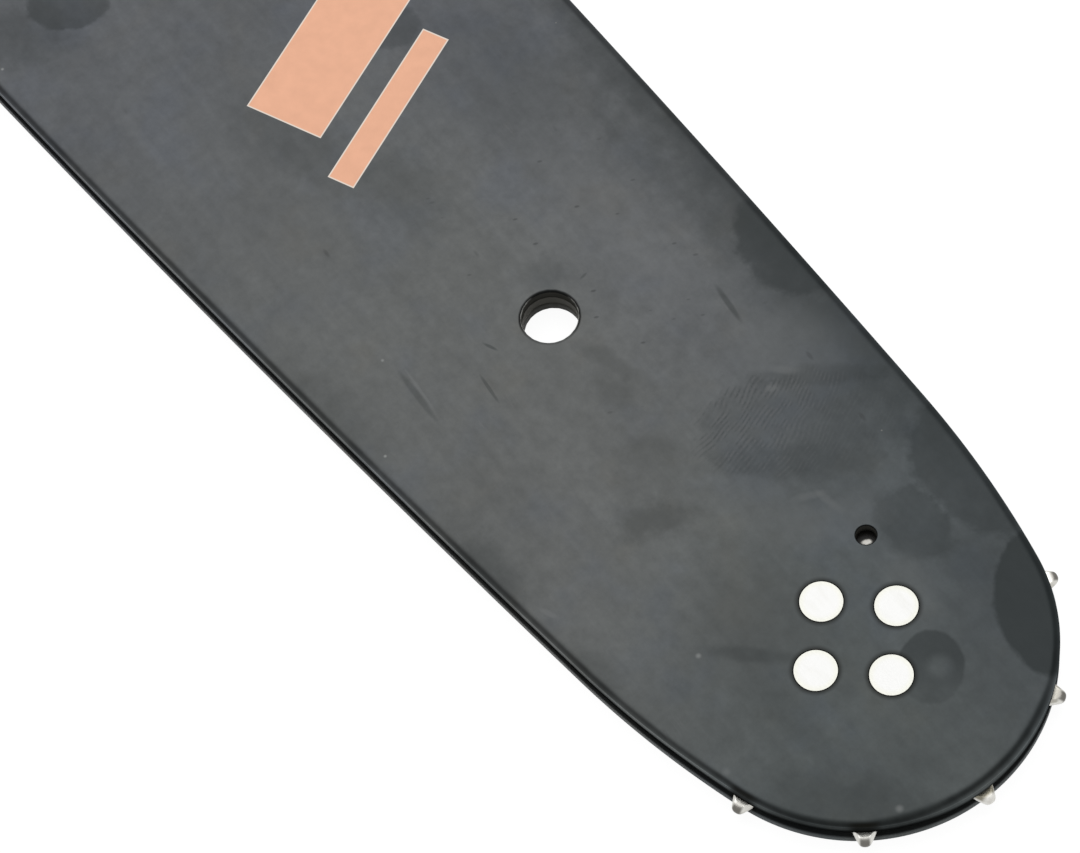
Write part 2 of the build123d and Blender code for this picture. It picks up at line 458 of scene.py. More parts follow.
def buildPlate(name, replaced, faceMm, innerMm, material):
    mesh = bmesh.new()
    mesh.verts.layers.float.new("rim")
    mesh.verts.layers.float.new("bore")
    outline, halfWidth = barOutline()
    narrow, wide = barShape["rimWidth"]
    blendFrom, blendTo = barShape["noseBlend"]
    widths = []
    for x, y in outline:
        share = min(max((x - noseMm.x - blendFrom) / (blendTo - blendFrom), 0.0), 1.0)
        widths.append(narrow + (wide - narrow) * share * share * (3.0 - 2.0 * share))
    ends = [sideRings(mesh, outline, faceMm, innerMm, widths, barShape["rimDepth"], barShape["rimSteps"],
                      barShape["innerBreak"], sign=1.0, bore=0.0)]
    for loop, lip in plateHoles(halfWidth):
        width, depth, innerBreak = holeShapes[lip]
        ends.append(sideRings(mesh, loop, faceMm, innerMm, [width] * len(loop), depth, holeShapes["lipSteps"],
                              innerBreak, sign=-1.0, bore=1.0))
    fillFlat(mesh, *[top for top, bottom in ends])
    fillFlat(mesh, *[bottom for top, bottom in ends])
    finishPiece(name, mesh, "bar", replaced, material)


# finish of the side plates: dark satin coating, handled, with a two-bar copper print on the upper face

plateLook = {
    # tail, middle and nose tones: lighter in the middle and darker round the nose, a painted reflection of the
    # softbox
    "tailTone": (0.1215, 0.1280, 0.1362),
    "middleTone": (0.1435, 0.1495, 0.1478),
    "noseTone": (0.0985, 0.1105, 0.1110),
    "tailReach": (322.0, 382.0),  # mm along the bar over which the tail's tone ends
    "noseReach": (402.0, 446.0),  # and over which the nose's begins, on a slant
    "noseSlant": 0.6,
    "upperTint": (0.995, 1.0, 1.045),  # towards the upper edge
    "upperReach": (-2.0, 14.0),
    "coolTint": (0.97, 0.99, 1.04),
    "warmTint": (1.02, 1.0, 0.97),
    "oilTone": (0.030, 0.036, 0.037),
    "hazeTone": (0.076, 0.080, 0.078),
    "wipedTone": (0.190, 0.198, 0.200),
    "boreTone": (0.084, 0.083, 0.074),
    "glintTone": (0.32, 0.32, 0.30),
    "nearBlackTone": (0.008, 0.0075, 0.0055),
    "seedShift": (53.0, 17.0, 5.0),  # mm for each unit of seed, so that the two plates differ
    "wobbleScale": 0.30,
    "tintScale": 0.085,
    "coolSpan": (0.50, 0.68),
    "warmSpan": (0.46, 0.32),
    "cloudScale": 0.06,
    "cloudShift": (0.0, 90.0, 0.0),
    "cloudRange": (0.91, 1.09),
    "mottleScale": 0.5,
    "mottleRange": (0.89, 1.11),
    "wipeTurn": 0.06,
    "wipeScale": (0.06, 0.55, 1.0),
    "wipeRange": (0.95, 1.05),
    "grain": {"Size": 0.35, "Stretch": 3.0},
    "bump": {"Strength": 0.12, "Distance": 0.00002},
    "roughness": (0.44, 0.58),
    "oilGloss": -0.12,  # change of roughness
    "inkGloss": -0.08,
    "upperSheen": 0.0,
    "lowerSheen": 0.08,
    "coat": 0.14,
    "coatRoughness": 0.42,
    "coatEnd": (0.05, 0.5),
    # share of the face's tone from the flat (0) over the eased edge (0.5) to the foot of the rail (1): a painted
    # dark reflection in a dip on the eased edge, a bright line at the corner that is partly edge wear and partly
    # painted highlight, and painted shade down the rail's wall
    "edgeRamp": [(0.0, 1.0), (0.087, 0.91), (0.148, 0.78), (0.204, 0.55), (0.265, 0.38), (0.326, 0.38),
                 (0.383, 0.46), (0.441, 0.60), (0.474, 1.3), (0.5, 2.5), (0.60, 3.2), (0.68, 2.5),
                 (0.74, 0.95), (0.81, 0.25), (0.87, 0.09), (1.0, 0.04)],
    "noseRamp": [(0.0, 1.0), (0.06, 0.98), (0.10, 0.93), (0.15, 0.75), (0.19, 0.50), (0.235, 0.32),
                 (0.28, 0.25), (0.32, 0.27), (0.36, 0.38), (0.40, 0.56), (0.44, 0.76), (0.47, 1.0),
                 (0.5, 1.9), (0.60, 2.6), (0.72, 2.3), (0.85, 1.2), (1.0, 0.4)],
    "dullRamp": [(0.0, 1.0), (0.06, 0.96), (0.12, 0.82), (0.18, 0.62), (0.24, 0.45), (0.30, 0.32),
                 (0.36, 0.26), (0.42, 0.28), (0.46, 0.46), (0.5, 1.0), (0.58, 1.35), (0.66, 1.2),
                 (0.75, 0.65), (0.85, 0.28), (1.0, 0.10)],
    "noseStart": (-5.0, 15.0),  # from the sprocket's axis, where the nose's ramp takes over
    "dullPatch": ((461.6, -15.0), (10.0, 10.0), 0.0, 0.4, 0.0),  # where the painted highlight on the corner is weaker and the painted dip wider
    # for the lower plate: the same painted dip, bright corner line and painted shade down the wall
    "lowerRamp": [(0.0, 1.0), (0.15, 0.78), (0.27, 0.38), (0.44, 0.60), (0.5, 1.60), (0.66, 1.55),
                  (0.8, 1.25), (0.94, 0.60), (1.0, 0.2)],
    # painted shade on the lip round the mouth of every hole
    "lipRamp": [(0.0, 1.0), (0.10, 0.62), (0.22, 0.20), (0.36, 0.08), (0.52, 0.08), (1.0, 0.08)],
    "boreRamp": [(0.5, 1.0), (0.75, 1.0), (0.95, 1.0), (1.0, 0.85)],
    "softEdge": (4.0, 18.0),  # mm across, where the painted dark dip fades towards the upper edge
    "softStrength": 0.46,
    "softEnd": (1.0, 0.9),
    "wornScale": (0.25, 0.25, 1.0),
    "wornRange": (0.78, 1.22),
    "wornReach": (0.15, 0.45, 0.0, 0.7),  # wear shows from the dip outwards, not on the face
    "wallStart": (1.02, 1.10),
}


def makeToothWave():
    # one at the middle of each tooth, minus one between two teeth
    tree, given, out = newGroup("toothWave", [("FromAxis", "Vector")], [("Wave", "Float")])
    sides = splitVector(tree, given["FromAxis"])
    angle = calc(tree, "ARCTAN2", sides["Y"], sides["X"])
    turned = calc(tree, "SUBTRACT", angle, math.radians(sprocketTeeth["phase"]))
    wave = calc(tree, "COSINE", calc(tree, "MULTIPLY", turned, float(sprocketTeeth["count"])))
    tree.links.new(wave, out["Wave"])
    return tree


def makeRivetDistance():
    # the four rivets mirror into one corner, so two distances are enough
    tree, given, out = newGroup("rivetDistance", [("Place", "Vector")], [("Distance", "Float")])
    away = vecCalc(tree, "ABSOLUTE", vecCalc(tree, "SUBTRACT", given["Place"], tuple(noseMm)))
    level = flatten(tree, away)
    circle = holeShapes["rivetCircle"]
    nearest = calc(tree, "MINIMUM", vecCalc(tree, "DISTANCE", level, (circle, 0.0, 0.0)),
                   vecCalc(tree, "DISTANCE", level, (0.0, circle, 0.0)))
    tree.links.new(nearest, out["Distance"])
    return tree


def makePlateTone():
    # bluish towards the tail, neutral in the middle, darker and cooler round the nose; the lighter middle and
    # darker nose are a painted reflection of the softbox
    look = plateLook
    tree, given, out = newGroup("plateTone", [("Flat", "Vector"), ("Shifted", "Vector")], [("Tone", "Color")])
    flat, shifted = given["Flat"], given["Shifted"]
    along = splitVector(tree, flat)["X"]
    color = mixColor(tree, remap(tree, along, *look["tailReach"]), look["tailTone"], look["middleTone"])
    slanted = vecCalc(tree, "DOT_PRODUCT", flat, (1.0, look["noseSlant"], 0.0))
    color = mixColor(tree, remap(tree, slanted, *look["noseReach"]), color, look["noseTone"])
    spread = noise(tree, shifted, look["tintScale"], detail=3.0, rough=0.6)
    cool, warm = remap(tree, spread, *look["coolSpan"]), remap(tree, spread, *look["warmSpan"])
    color = mixColor(tree, cool, color, mixColor(tree, 1.0, color, look["coolTint"], "MULTIPLY"))
    color = mixColor(tree, warm, color, mixColor(tree, 1.0, color, look["warmTint"], "MULTIPLY"))
    upward = remap(tree, splitVector(tree, flat)["Y"], *look["upperReach"])
    color = mixColor(tree, upward, color, mixColor(tree, 1.0, color, look["upperTint"], "MULTIPLY"))
    apart = vecCalc(tree, "ADD", shifted, look["cloudShift"])
    cloud = vary(tree, noise(tree, apart, look["cloudScale"], detail=4.0, rough=0.62), *look["cloudRange"])
    mottled = noise(tree, shifted, look["mottleScale"], detail=4.0, rough=0.7)
    mottle = vary(tree, mottled, *look["mottleRange"])
    wiped = vecCalc(tree, "MULTIPLY", turnBy(tree, shifted, look["wipeTurn"]), look["wipeScale"])
    streak = vary(tree, noise(tree, wiped, 1.0, detail=3.0, rough=0.6), *look["wipeRange"])
    shade = calc(tree, "MULTIPLY", calc(tree, "MULTIPLY", cloud, mottle), streak)
    tree.links.new(mixColor(tree, 1.0, color, shade, "MULTIPLY"), out["Tone"])
    return tree


holeGlint = {  # painted highlight on two sides of the locating hole, at the lip's corner and at the wall's foot, broken up by noise
    "outer": ((0.72, 0.86), (1.16, 1.06)),
    "inner": (1.84, 1.92),
    "sideWay": (0.63, 0.78, 0.0),
    "sideSpan": (0.55, 0.95),
    "breakScale": 1.7,
    "breakSpan": (0.35, 0.6, 0.35, 0.95),
    "near": (4.2, 4.0),
    "unshadedWay": (0.75, -0.66, 0.0),  # where the lip keeps the face's tone, without the lip's painted shade
    "unshadedSpan": (0.2, 0.9, 0.0, 0.7),
    "unshadedEnd": (1.12, 0.98),
}


def makeLipGlint():
    tree, given, out = newGroup(
        "lipGlint",
        [("Lip", "Color"), ("Face", "Color"), ("Rim", "Float"), ("Place", "Vector"), ("Flat", "Vector")],
        [("Color", "Color")])
    rim = given["Rim"]
    fromHole = vecCalc(tree, "SUBTRACT", given["Flat"], (holeMm.x, holeMm.y, 0.0))
    way = vecCalc(tree, "NORMALIZE", fromHole)
    near = remap(tree, vecCalc(tree, "LENGTH", fromHole), *holeGlint["near"])
    start, stop = (remap(tree, rim, *span) for span in holeGlint["outer"])
    burrAndGlint = calc(tree, "MAXIMUM", calc(tree, "MULTIPLY", start, stop), remap(tree, rim, *holeGlint["inner"]))
    toSide = calc(tree, "ABSOLUTE", vecCalc(tree, "DOT_PRODUCT", way, holeGlint["sideWay"]))
    burrAndGlint = calc(tree, "MULTIPLY", burrAndGlint, remap(tree, toSide, *holeGlint["sideSpan"]))
    gaps = noise(tree, given["Place"], holeGlint["breakScale"], detail=2.0)
    broken = remap(tree, gaps, *holeGlint["breakSpan"])
    burrAndGlint = calc(tree, "MULTIPLY", calc(tree, "MULTIPLY", burrAndGlint, broken), near)
    # painted highlight on the two sides of the hole
    lip = mixColor(tree, burrAndGlint, given["Lip"], plateLook["glintTone"])
    toFront = remap(tree, vecCalc(tree, "DOT_PRODUCT", way, holeGlint["unshadedWay"]), *holeGlint["unshadedSpan"])
    unshadedLip = calc(tree, "MULTIPLY", toFront, remap(tree, rim, *holeGlint["unshadedEnd"]))
    # towards the front the lip keeps the face's tone instead of its painted shade
    lip = mixColor(tree, calc(tree, "MULTIPLY", unshadedLip, near), lip, given["Face"])
    tree.links.new(lip, out["Color"])
    return tree


toothWave, rivetDistance = makeToothWave(), makeRivetDistance()
plateTone, lipGlint = makePlateTone(), makeLipGlint()


plateMarks = [  # tone, centre and radii in mm, turn in degrees, edge softness, raggedness, strength
    ("oilTone", (405.0, 31.0), (42.0, 10.5), -2.0, 0.60, 0.7, 0.65),
    ("oilTone", (371.0, 29.5), (13.0, 5.0), -3.0, 0.45, 0.8, 0.10),
    ("oilTone", (362.0, 30.0), (24.0, 2.6), -5.0, 0.80, 0.5, 0.30),
    ("oilTone", (392.0, -32.0), (46.0, 7.5), 0.0, 0.85, 0.7, 0.16),
    ("oilTone", (362.0, 17.0), (11.0, 9.0), 0.0, 0.80, 1.2, 0.26),
    ("oilTone", (456.5, 13.5), (12.5, 8.0), -34.0, 0.80, 0.6, 0.28),
    ("oilTone", (402.1, 27.4), (7.8, 6.0), -4.0, 0.10, 0.5, 0.51),
    ("oilTone", (455.8, 19.6), (9.3, 6.7), -37.0, 0.05, 0.22, 0.80),
    ("oilTone", (437.8, 23.8), (9.6, 6.2), -9.0, 0.10, 0.5, 0.50),
    ("oilTone", (438.6, 14.0), (5.2, 3.9), -2.0, 0.18, 0.9, 0.44),
    ("oilTone", (421.4, 13.0), (12.2, 7.0), 54.0, 0.06, 0.5, 0.17),
    ("oilTone", (417.3, 18.2), (7.0, 1.3), 52.0, 0.40, 1.5, 0.36),
    ("oilTone", (428.0, 11.5), (4.6, 6.0), 54.0, 0.50, 1.0, 0.14),
    ("oilTone", (423.0, 8.2), (7.5, 1.9), 52.0, 0.50, 1.0, 0.20),
    ("oilTone", (317.4, -17.0), (5.1, 3.5), 47.0, 0.08, 0.5, 0.46),
    ("oilTone", (346.4, 10.3), (4.4, 3.2), 42.0, 0.12, 0.6, 0.40),
    ("oilTone", (366.6, -2.0), (6.6, 4.2), 6.0, 0.45, 1.5, 0.20),
    ("hazeTone", (435.5, -7.6), (7.0, 6.0), 43.0, 0.70, 1.6, 0.26),
    ("oilTone", (438.9, -10.0), (4.9, 0.9), 43.0, 0.50, 0.7, 0.32),
    ("oilTone", (447.8, -11.9), (7.0, 1.7), 4.0, 0.60, 1.0, 0.18),
    ("oilTone", (458.5, -14.2), (8.0, 3.4), 43.0, 0.60, 1.2, 0.36),
    ("oilTone", (461.0, -7.5), (4.0, 6.0), 10.0, 0.70, 1.2, 0.18),
    ("wipedTone", (432.6, 7.8), (5.7, 2.8), 72.0, 0.60, 1.3, 0.16),
    ("hazeTone", (412.0, -2.4), (3.2, 2.2), 47.0, 0.60, 2.4, 0.24),
    ("hazeTone", (419.0, -7.8), (4.2, 2.2), 60.0, 0.65, 2.8, 0.60),
    ("hazeTone", (403.5, -0.5), (2.6, 1.8), 8.0, 0.70, 2.4, 0.34),
    ("oilTone", (388.6, -17.9), (3.6, 0.36), -5.0, 0.45, 0.4, 0.34),
    ("wipedTone", (388.0, -17.2), (2.8, 0.16), -6.0, 0.45, 0.2, 0.45),
    ("oilTone", (393.5, -11.1), (1.9, 0.20), -8.0, 0.40, 0.3, 0.42),
    ("oilTone", (403.5, 16.6), (2.5, 0.34), -9.0, 0.45, 0.4, 0.50),
    ("wipedTone", (383.2, 13.9), (11.0, 3.4), -1.0, 0.70, 1.5, 0.12),
    ("wipedTone", (357.1, -17.1), (15.0, 6.5), 0.0, 0.80, 1.5, 0.10),
    ("oilTone", (384.0, -28.0), (9.0, 3.0), 2.0, 0.60, 1.3, 0.16),
    ("oilTone", (403.0, -27.0), (6.0, 3.0), 4.0, 0.60, 1.3, 0.05),
    ("oilTone", (411.5, -27.0), (5.5, 4.0), 6.0, 0.55, 1.2, 0.38),
    ("oilTone", (318.0, -23.2), (5.5, 4.5), 40.0, 0.50, 1.4, 0.30),
    ("oilTone", (386.4, 3.2), (2.8, 1.9), 40.0, 0.60, 1.2, 0.24),
    ("wipedTone", (420.0, -23.8), (1.1, 0.30), 20.0, 0.50, 0.8, 0.45),
    ("wipedTone", (412.5, 18.0), (6.5, 4.5), 30.0, 0.60, 1.0, 0.22),
    ("wipedTone", (414.2, 15.7), (1.7, 0.5), 44.0, 0.60, 1.4, 0.34),
    ("wipedTone", (415.1, 13.2), (0.75, 0.45), 62.0, 0.55, 0.9, 0.42),
    ("wipedTone", (427.5, 2.5), (5.0, 3.0), 30.0, 0.70, 1.2, 0.12),
    ("wipedTone", (428.3, 7.5), (1.6, 0.45), 62.0, 0.60, 1.4, 0.28),
    ("wipedTone", (430.2, 8.7), (1.5, 0.45), 8.0, 0.60, 1.4, 0.24),
    ("oilTone", (352.5, -7.4), (8.5, 3.6), 17.0, 0.60, 1.8, 0.24),
    ("oilTone", (380.5, 20.5), (4.5, 3.0), 30.0, 0.60, 1.4, 0.16),
    ("oilTone", (446.0, 16.5), (4.5, 3.5), -20.0, 0.60, 1.0, 0.22),
    ("wipedTone", (444.5, 8.6), (4.5, 2.4), -20.0, 0.60, 1.2, 0.14),
    ("hazeTone", (400.0, 1.5), (5.0, 1.0), 15.0, 0.60, 1.4, 0.34),
    ("oilTone", (429.0, -26.0), (4.5, 3.0), 12.0, 0.60, 1.2, 0.28),
    ("oilTone", (389.3, -7.6), (0.9, 0.18), 20.0, 0.50, 0.8, 0.50),
    ("oilTone", (389.3, 6.4), (0.5, 0.16), 98.0, 0.50, 0.8, 0.36),
    ("wipedTone", (0.0, 0.0), (44.0, 16.0), 0.0, 0.50, 1.2, 0.20),
    ("oilTone", (11.0, 24.5), (9.0, 4.0), 8.0, 0.50, 1.0, 0.50),
    ("oilTone", (12.0, -24.0), (8.0, 4.5), -6.0, 0.50, 1.0, 0.50),
    ("oilTone", (96.0, 13.0), (13.0, 4.5), 52.0, 0.35, 1.8, 0.24),
    ("hazeTone", (132.0, -4.0), (26.0, 9.0), 6.0, 0.70, 1.6, 0.30),
    ("oilTone", (171.0, -15.0), (6.0, 9.0), -30.0, 0.30, 2.0, 0.24),
    ("wipedTone", (215.0, 6.0), (28.0, 8.0), -3.0, 0.70, 1.5, 0.14),
    ("oilTone", (247.0, 15.0), (14.0, 4.5), 31.0, 0.35, 1.8, 0.22),
    ("oilTone", (150.0, -31.0), (70.0, 6.5), 0.0, 0.85, 0.7, 0.25),
    ("oilTone", (150.0, 31.0), (70.0, 7.0), 0.0, 0.85, 0.7, 0.25),
]
brightSpecks = {  # chips and lint that catch the light
    "core": 0.1,
    "tone": (0.335, 0.345, 0.340),
    "spots": [  # place, radius and strength
        ((382.3, -18.1), 0.28, 0.62), ((392.3, -25.5), 0.28, 0.80), ((435.1, -14.5), 0.46, 0.48),
        ((447.7, -21.1), 0.75, 0.14), ((463.3, -9.7), 0.66, 0.34), ((319.5, -28.3), 0.28, 0.74)],
}
ringMark = {
    "centre": (453.0, 3.9),
    "radius": (4.4, 3.7),
    "turn": -42.0,
    "soft": 0.06,
    "ragged": 0.2,
    "eye": (453.7, 4.6),
    "eyeReach": (0.56, 2.1),
    "eyeLeast": 0.1,
    "fade": (-4.5, 2.0),  # mm across the mark over which it thins out
    "fadeWay": (-0.75, 0.66, 0.0),
    "fadeLeast": 0.35,
    "strength": 0.62,
}
fingerMark = {
    "centre": (420.5, 12.4),
    "radius": (11.8, 6.6),
    "turn": 54.0,
    "soft": 0.15,
    "ragged": 0.6,
    "swirlCentre": (383.0, -3.0),
    "pitch": 0.54,
    "bend": 2.2,
    "bendScale": 0.16,
    "light": (0.150, 0.150, 0.153),
    "lightSpan": (0.1, 0.9),  # of the ridge's sine
    "dark": (0.055, 0.060, 0.063),
    "darkSpan": (-0.2, -0.9),
    "patchScale": 0.55,
    "patchSpan": (0.38, 0.60),
    "breakScale": 2.4,
    "breakSpan": (0.38, 0.56, 0.3, 1.1),
    "fade": (33.0, 48.0),  # mm from the swirl's centre, strongest at the near end
    "strength": (0.43, 0.06),
}


def addFaceMarks(tree, color, flat, wobble):
    look = plateLook
    for tone, centre, radius, turn, soft, ragged, strength in plateMarks:
        mark = markMask(tree, flat, wobble, centre, radius, turn, soft, ragged, strength)
        color = mixColor(tree, mark, color, look[tone])

    # a thin-ended ring with a pale eye
    ring = markMask(tree, flat, wobble, ringMark["centre"], ringMark["radius"], ringMark["turn"],
                    ringMark["soft"], ringMark["ragged"], ringMark["strength"])
    eye = vecCalc(tree, "DISTANCE", flat, (*ringMark["eye"], 0.0))
    hollow = remap(tree, eye, *ringMark["eyeReach"], ringMark["eyeLeast"], 1.0)
    across = vecCalc(tree, "DOT_PRODUCT", vecCalc(tree, "SUBTRACT", flat, (*ringMark["centre"], 0.0)),
                     ringMark["fadeWay"])
    thin = remap(tree, across, *ringMark["fade"], ringMark["fadeLeast"], 1.0)
    ring = calc(tree, "MULTIPLY", calc(tree, "MULTIPLY", ring, hollow), thin)
    color = mixColor(tree, ring, color, look["oilTone"])

    # finger ridges, light and dark lines side by side, clearest at one end
    touch = fingerMark
    inside = markMask(tree, flat, wobble, touch["centre"], touch["radius"], touch["turn"], touch["soft"],
                      touch["ragged"])
    fromSwirl = vecCalc(tree, "DISTANCE", flat, (*touch["swirlCentre"], 0.0))
    waver = noise(tree, flat, touch["bendScale"], detail=1.0)
    bent = calc(tree, "MULTIPLY_ADD", waver, touch["bend"], fromSwirl)
    ridge = calc(tree, "SINE", calc(tree, "MULTIPLY", bent, 2.0 * math.pi / touch["pitch"]))
    patchy = remap(tree, noise(tree, flat, touch["patchScale"], detail=2.0, rough=0.6), *touch["patchSpan"])
    clear = remap(tree, fromSwirl, *touch["fade"], *touch["strength"])
    broken = remap(tree, noise(tree, flat, touch["breakScale"], detail=2.0), *touch["breakSpan"])
    for limit in (patchy, broken, inside):
        clear = calc(tree, "MULTIPLY", clear, limit)
    for tone, span in (("light", "lightSpan"), ("dark", "darkSpan")):
        lines = calc(tree, "MULTIPLY", remap(tree, ridge, *touch[span]), clear)
        color = mixColor(tree, lines, color, touch[tone])

    specks = 0.0
    for place, radius, strength in brightSpecks["spots"]:
        toSpeck = vecCalc(tree, "DISTANCE", flat, (*place, 0.0))
        speck = remap(tree, toSpeck, radius, brightSpecks["core"] * radius, 0.0, strength)
        specks = calc(tree, "MAXIMUM", specks, speck)
    return mixColor(tree, specks, color, brightSpecks["tone"])


handMarks = {  # scattered along the face that lies down
    "count": 9,
    "start": -20.0,
    "step": 53.0,
    "sway": 18.0,
    "swayTurn": 2.4,
    "radius": (7.0, 6.0),
    "growth": 4.0,
    "turnStep": 40.0,
    "soft": 0.35,
    "ragged": 1.8,
    "strength": 0.3,
}


def addHandMarks(tree, color, flat, wobble, seed):
    marks = handMarks
    length, width = marks["radius"]
    for number in range(marks["count"]):
        sway = marks["sway"] * math.sin(marks["swayTurn"] * number + seed)
        centre = (marks["start"] + marks["step"] * number, sway)
        radius = (length + number % 3 * marks["growth"], width)
        mark = markMask(tree, flat, wobble, centre, radius, marks["turnStep"] * number, marks["soft"],
                        marks["ragged"], marks["strength"])
        color = mixColor(tree, mark, color, plateLook["oilTone"])
    return color


plateWear = {
    "alongScratch": {"Turn": 0.05, "Run": 26.0, "Spacing": 0.9, "Share": 0.36},
    "acrossScratch": {"Turn": 0.9, "Run": 14.0, "Spacing": 1.3, "Share": 0.30},
    "scratchTone": (0.22, 0.22, 0.225),
    "scratchStrength": 0.16,
    "darkTone": (0.045, 0.046, 0.048),  # of dashes and flecks
    "dashes": {"Spacing": 4.2, "Size": 0.34, "Share": 0.42},
    "dashTurn": 0.08,
    "dashSquash": (0.38, 1.0, 1.0),
    "dashStrength": 0.34,
    "flecks": {"Spacing": 2.0, "Size": 0.22, "Share": 0.7},
    "fleckTurn": 0.5,
    "fleckSquash": (1.0, 0.5, 1.0),
    "fleckZone": ((389.0, 7.0), (23.0, 15.0), 0.0, 0.6, 0.0, 0.50),  # round the locating hole
    "dust": {"Spacing": 6.0, "Size": 0.14, "Share": 0.4},
    "dustTone": (0.30, 0.30, 0.28),
    "dustStrength": 0.45,
}
# painted shade on the plate in the seam round each rivet
rivetHalo = {"reach": (2.42, 3.2), "least": 0.2}


def addWear(tree, color, flat, shifted, placeMm):
    # hairline scratches, dark dashes along the bar, flecks, dust, and painted shade round each rivet
    wear = plateWear
    along = useGroup(tree, fineScratches, Place=shifted, **wear["alongScratch"])["Mask"]
    across = useGroup(tree, fineScratches, Place=shifted, **wear["acrossScratch"])["Mask"]
    lines = calc(tree, "MULTIPLY", calc(tree, "MAXIMUM", along, across), wear["scratchStrength"])
    color = mixColor(tree, lines, color, wear["scratchTone"])
    drawn = vecCalc(tree, "MULTIPLY", turnBy(tree, shifted, wear["dashTurn"]), wear["dashSquash"])
    dashes = useGroup(tree, speckle, Place=drawn, **wear["dashes"])["Mask"]
    color = mixColor(tree, calc(tree, "MULTIPLY", dashes, wear["dashStrength"]), color, wear["darkTone"])
    narrow = vecCalc(tree, "MULTIPLY", turnBy(tree, shifted, wear["fleckTurn"]), wear["fleckSquash"])
    flecks = useGroup(tree, speckle, Place=narrow, **wear["flecks"])["Mask"]
    flecks = calc(tree, "MULTIPLY", flecks, markMask(tree, flat, 0.0, *wear["fleckZone"]))
    color = mixColor(tree, flecks, color, wear["darkTone"])
    dust = useGroup(tree, speckle, Place=shifted, **wear["dust"])["Mask"]
    color = mixColor(tree, calc(tree, "MULTIPLY", dust, wear["dustStrength"]), color, wear["dustTone"])
    toRivet = useGroup(tree, rivetDistance, Place=placeMm)["Distance"]
    outsideRivetShade = remap(tree, toRivet, *rivetHalo["reach"], rivetHalo["least"], 1.0)
    return mixColor(tree, outsideRivetShade, plateLook["nearBlackTone"], color)


printBars = {
    "ink": (0.98, 0.53, 0.35),
    "rim": (0.97, 0.86, 0.76),
    "bars": [((344.5, 3.5), (5.2, 11.5), 22.0), ((355.8, 3.5), (1.8, 11.5), 22.0)],  # centre, half size, turn
    "edgeBlur": 0.03,
    "rimWidth": 0.16,
    "rimBlur": 0.05,
    "faintScale": 0.5,
    "faintRange": (0.95, 1.02),
}


def addPrint(tree, color, flat):
    ink = 0.0
    for centre, half, turn in printBars["bars"]:
        offset = vecCalc(tree, "SUBTRACT", flat, (*centre, 0.0))
        over = vecCalc(tree, "ABSOLUTE", turnBy(tree, offset, math.radians(-turn)))
        sides = splitVector(tree, vecCalc(tree, "SUBTRACT", over, (*half, 1.0)))
        edge = calc(tree, "MAXIMUM", sides["X"], sides["Y"])
        bar = remap(tree, edge, printBars["edgeBlur"], -printBars["edgeBlur"])
        width, blur = printBars["rimWidth"], printBars["rimBlur"]
        rim = remap(tree, edge, -width - blur, -width + blur)
        inkColor = mixColor(tree, rim, printBars["ink"], printBars["rim"])
        faint = vary(tree, noise(tree, flat, printBars["faintScale"], detail=2.0), *printBars["faintRange"])
        color = mixColor(tree, bar, color, mixColor(tree, 1.0, inkColor, faint, "MULTIPLY"))
        ink = calc(tree, "MAXIMUM", ink, bar)
    return color, ink


railOverTeeth = {  # darker on the rail over each tooth, at rest
    "spread": (0.55, 0.98),
    "climb": (0.3, 0.7),
    "strength": 0.78,
    "sideReach": (-5.0, -10.0),
    "foreReach": (-8.0, -2.0),
}


